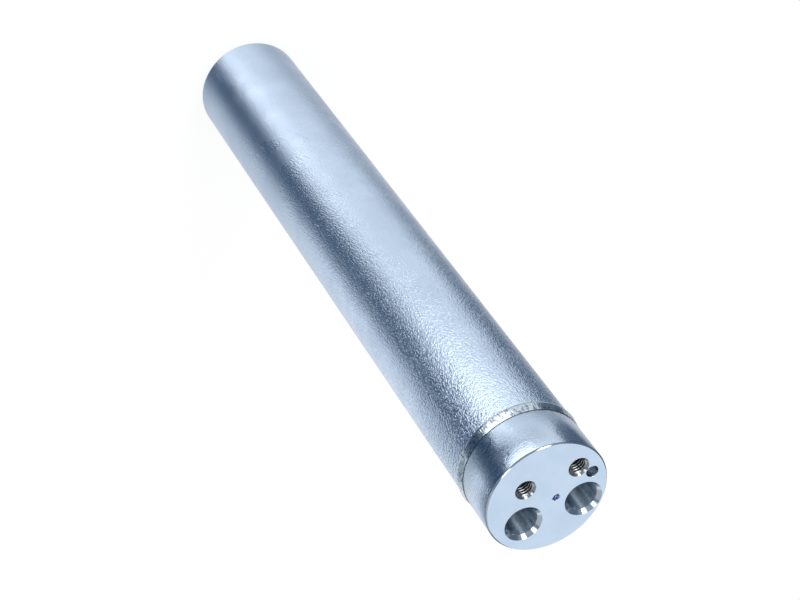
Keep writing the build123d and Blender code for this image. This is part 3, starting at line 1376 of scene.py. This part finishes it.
@dataclass
class Studio:
    """Floor, soft surround, lamps and camera."""

    camera_place: tuple[float, float, float] = (0.1365, -0.4034, 0.6463)
    camera_back: tuple[float, float, float] = (0.20912, -0.62320, 0.75358)
    camera_up: tuple[float, float, float] = (-0.36174, -0.76526, -0.53247)
    lens: float = 86.70
    clip: Point = (0.01, 50.0)
    floor_size: float = 6.0
    floor_glow: float = 0.80
    glow_strength: float = 1.06
    paper: float = 0.9
    # the surround low down: azimuth in degrees and brightness
    skirt: tuple[Point, ...] = (
        (-180.0, 0.45), (-165.0, 0.64), (-142.0, 0.90), (-110.0, 0.95),
        (-90.0, 1.02), (-75.0, 1.02), (-60.0, 0.06), (-20.0, 0.06),
        (-8.0, 0.16), (6.0, 0.45), (20.0, 0.57), (45.0, 0.68),
        (108.0, 0.82), (140.0, 0.72), (158.0, 0.56), (170.0, 0.45),
    )
    cards: tuple[Card, ...] = (
        Card(-72.0, 17.0, 7.0, -1.0, -0.99, 1.32, False),
        Card(-172.0, 10.0, 14.0, -0.715, -0.65, 0.05),
        Card(-88.0, 26.0, 12.0, -0.685, -0.66, 0.80),
        Card(-45.0, 10.0, 10.0, -0.685, -0.66, 0.18),
        Card(48.0, 34.0, 12.0, -0.73, -0.68, 1.00),
        Card(56.0, 38.0, 10.0, -0.56, -0.50, 0.42),
        Card(-160.0, 14.0, 8.0, -0.61, -0.56, 0.15),
        Card(0.0, 180.0, 10.0, -0.42, -0.35, 0.12),
        Card(-100.0, 34.0, 8.0, -0.42, -0.35, 1.15),
        Card(-70.0, 21.0, 8.0, -0.42, -0.35, 2.40),
        Card(0.0, 26.0, 12.0, -0.42, -0.35, 0.03),
        Card(178.0, 30.0, 8.0, -0.42, -0.35, 0.02),
        Card(0.0, 180.0, 10.0, -0.15, 0.2, 0.30),
        Card(28.0, 26.0, 14.0, -0.15, 0.2, 0.52),
        Card(108.0, 44.0, 14.0, -0.15, 0.15, 0.95),
        Card(-167.0, 17.0, 14.0, -0.1, 0.25, 0.13),
        Card(-12.0, 8.0, 10.0, 0.2, 0.5, 0.2),
        Card(0.0, 180.0, 10.0, 0.84, 0.92, 0.16),
        Card(-108.0, 42.0, 12.0, 0.78, 0.86, 2.20),
    )
    # the panels' edges lean: degrees of azimuth for each unit of height, from the level where they don't
    lean: float = 80.0
    lean_level: float = 0.74
    lean_top: float = -0.66
    # panels darker than white are a little blue
    shade_of_white: Colour = (1.0, 0.955, 0.89)
    shade_of_black: Colour = (0.0, 0.045, 0.10)
    # what matt surfaces and the eye are given all round
    fill_light: Colour = (0.8, 0.8, 0.8)
    backdrop: Colour = (1.0, 1.0, 1.0)
    lamps: tuple[Softbox, ...] = (
        Softbox("left_softbox", -117.0, 48.0, 0.26, 0.55, 4.2),
        Softbox("right_softbox", -38.0, 45.0, 0.26, 0.36, 2.4),
    )

    def camera(self) -> None:
        """Place the camera."""
        back = Vector(self.camera_back).normalized()
        up = Vector(self.camera_up)
        up = (up - up.dot(back) * back).normalized()
        data = bpy.data.cameras.new("camera")
        data.lens = self.lens
        data.clip_start, data.clip_end = self.clip
        camera = put_in_scene("camera", data)
        place = Matrix((up.cross(back), up, back)).transposed().to_4x4()
        place.translation = Vector(self.camera_place)
        camera.matrix_world = place
        bpy.context.scene.camera = camera

    def floor(self) -> None:
        """Lay the pale floor, which polished metal doesn't see."""
        half = self.floor_size / 2
        square = [(-half, -half, 0), (half, -half, 0), (half, half, 0), (-half, half, 0)]
        mesh = bpy.data.meshes.new("floor")
        mesh.from_pydata(square, [], [(0, 1, 2, 3)])
        floor = put_in_scene("floor", mesh)
        floor.visible_glossy = False
        material = bpy.data.materials.new("floor_paper")
        material.use_nodes = True
        g = Graph(material.node_tree)
        g.tree.nodes.clear()
        paper = g.add("ShaderNodeBsdfDiffuse", (*[self.paper] * 3, 1.0))
        glow = g.add("ShaderNodeEmission", given={"Strength": self.glow_strength})
        path = g.add("ShaderNodeLightPath").outputs
        to_the_eye = g.math("MULTIPLY", path["Is Camera Ray"], self.floor_glow)
        mix = g.add("ShaderNodeMixShader", to_the_eye, paper.outputs[0], glow.outputs[0])
        g.add("ShaderNodeOutputMaterial", mix.outputs[0])
        mesh.materials.append(material)

    def skirt_brightness(self, g: Graph, azimuth: Socket) -> Socket:
        """Look up the low surround in a ramp that starts at half a turn back.

        Args:
            g: the world's graph.
            azimuth: the direction, in turns.

        Returns:
            Its brightness there.
        """
        panels = g.add("ShaderNodeValToRGB", g.math("ADD", azimuth, 0.5))
        stops = panels.color_ramp.elements
        while len(stops) > 1:
            stops.remove(stops[0])
        stops[0].position = 1.0
        stops[0].color = (*[self.skirt[0][1]] * 3, 1.0)
        for angle, brightness in self.skirt:
            stops.new(angle / TURN + 0.5).color = (*[brightness] * 3, 1.0)
        return g.split(panels.outputs[0])[0]

    @staticmethod
    def card_mask(g: Graph, card: Card, azimuth: Socket, z: Socket) -> Socket:
        """Work out how much of a card shows in a direction.

        Args:
            g: the world's graph.
            card: the card.
            azimuth: the direction, in turns.
            z: the direction's height, as a sine.

        Returns:
            A mask of 0 to 1.
        """
        shown = g.ramp(z, card.low, card.high)
        if card.reach >= TURN / 2:
            return shown
        turn = g.math("SUBTRACT", azimuth, card.azimuth / TURN)
        away = g.math("ABSOLUTE", g.math("SUBTRACT", turn, g.math("ROUND", turn)))
        inside = g.ramp(away, card.reach / TURN, (card.reach + card.soft) / TURN, 1.0, 0.0)
        return g.math("MULTIPLY", shown, inside)

    def world(self) -> None:
        """Surround the object: white to the eye, soft panels to polished metal."""
        world = bpy.data.worlds.new("studio")
        world.use_nodes = True
        bpy.context.scene.world = world
        g = Graph(world.node_tree)
        x, y, z = g.split(g.add("ShaderNodeTexCoord").outputs["Generated"])
        low_down = g.math("ADD", g.math("MINIMUM", z, self.lean_top), self.lean_level)
        lean = g.math("MULTIPLY", low_down, self.lean / TURN)
        upright = g.math("DIVIDE", g.math("ARCTAN2", y, x), 2 * pi)
        azimuth = g.math("ADD", upright, lean)
        brightness = self.skirt_brightness(g, azimuth)
        for card in self.cards:
            mask = self.card_mask(g, card, azimuth if card.leans else upright, z)
            step = g.math("SUBTRACT", card.brightness, brightness)
            brightness = g.math("MULTIPLY_ADD", mask, step, brightness)
        seen = g.vector("MULTIPLY_ADD", brightness, self.shade_of_white, self.shade_of_black)
        path = g.add("ShaderNodeLightPath").outputs
        background = world.node_tree.nodes["Background"]
        plain = g.blend(path["Is Camera Ray"], self.fill_light, self.backdrop)
        g.feed(background.inputs["Color"], g.blend(path["Is Glossy Ray"], plain, seen))
        background.inputs["Strength"].default_value = 1.0

    def build(self) -> None:
        """Set up the whole studio."""
        self.camera()
        self.floor()
        self.world()
        for lamp in self.lamps:
            lamp.build()
        bpy.context.scene.view_settings.view_transform = "Standard"


def corners(box: tuple[Vector, Vector]) -> list[list[float]]:
    """Return a box as plain lists."""
    return [list(corner) for corner in box]


def main() -> None:
    """Build every sub-assembly and the studio."""
    logging.basicConfig(level=logging.INFO, format="%(name)s: %(message)s")
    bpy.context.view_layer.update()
    effects = Effects()
    Studio().build()
    for assembly in (Can(), Head(), WeldBead(), Inside()):
        assembly.build(effects)
        LOG.info("%s built", type(assembly).__name__)


if __name__ == "__main__":
    main()
